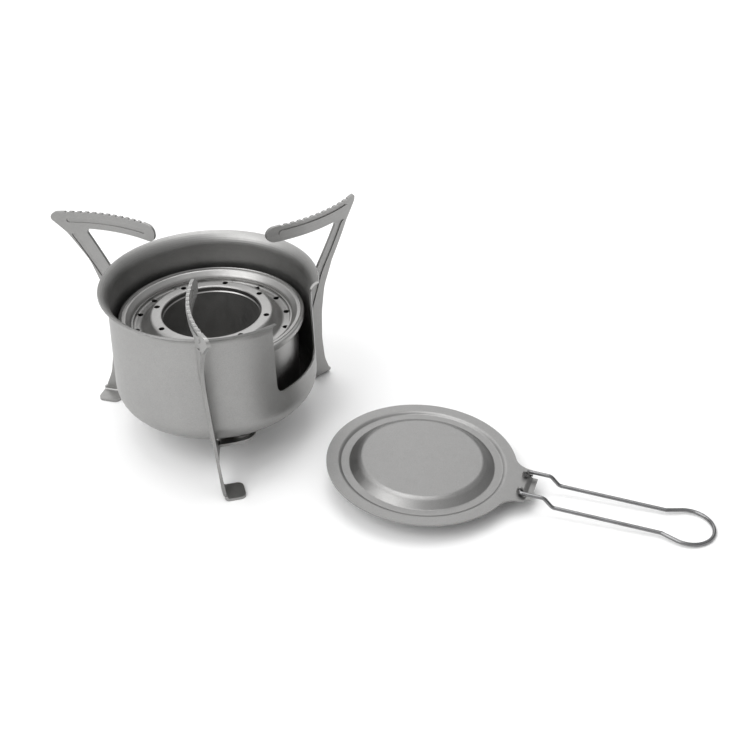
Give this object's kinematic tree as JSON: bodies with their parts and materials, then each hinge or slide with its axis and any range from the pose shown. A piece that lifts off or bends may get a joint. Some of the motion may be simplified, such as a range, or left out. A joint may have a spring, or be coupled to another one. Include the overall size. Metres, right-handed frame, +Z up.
{
  "type": "spirit stove",
  "caption": "Titanium spirit stove: a windscreen cup on folding legs with toothed pot arms, a double-walled burner in the cup, and a snuffer lid with a folding wire handle.",
  "frame": {"origin": "on the stove's axis, at the height of the surface that it stands on", "axes": "+Z up along the stove's axis; +X towards the side where the lid lies, along the set's length; the first leg points to -Y"},
  "size_m": [0.2576, 0.1444, 0.0855],
  "materials": {
    "blasted_titanium": "fine bead-blasted titanium sheet",
    "leg_titanium": "bead-blasted, stamped titanium sheet",
    "burner_titanium": "bead-blasted titanium sheet",
    "inner_titanium": "dull titanium sheet",
    "rivet_metal": "turned, satin",
    "steel_wire": "bright drawn stainless wire"
  },
  "bodies": {
    "cup": {"windscreen_cup": "blasted_titanium", "pivot_rivets": "rivet_metal", "pivot_washers": "rivet_metal"},
    "front_leg": {"leg_front": "leg_titanium"},
    "right_leg": {"leg_right": "leg_titanium"},
    "left_leg": {"leg_left": "leg_titanium"},
    "burner": {"burner_body": "burner_titanium", "burner_jet_plate": "burner_titanium", "burner_well_sleeve": "inner_titanium"},
    "lid": {"lid_disc": "blasted_titanium", "lid_collar": "inner_titanium"},
    "handle": {"lid_handle": "steel_wire"}
  },
  "joints": [
    {"name": "front_leg_fold", "type": "hinge", "parent": "cup", "child": "front_leg", "pos_m": [0.00958, -0.02948, 0.013], "axis": [0, 0, 1], "range_deg": [0, 105]},
    {"name": "right_leg_fold", "type": "hinge", "parent": "cup", "child": "right_leg", "pos_m": [0.02074, 0.02304, 0.013], "axis": [0, 0, 1], "range_deg": [0, 105]},
    {"name": "left_leg_fold", "type": "hinge", "parent": "cup", "child": "left_leg", "pos_m": [-0.03032, 0.00645, 0.013], "axis": [0, 0, 1], "range_deg": [0, 105]},
    {"name": "burner_lift", "type": "slide", "parent": "cup", "child": "burner", "axis": [0, 0, 1], "range_m": [0, 0.023]},
    {"name": "lid_lift", "type": "slide", "parent": "cup", "child": "lid", "axis": [0, 0, 1], "range_m": [0, 0.03]},
    {"name": "handle_fold", "type": "hinge", "parent": "lid", "child": "handle", "pos_m": [0.1209, -0.06529, 0.00854], "axis": [-0.3649, -0.9311, 0], "range_deg": [0, 178]}
  ]
}
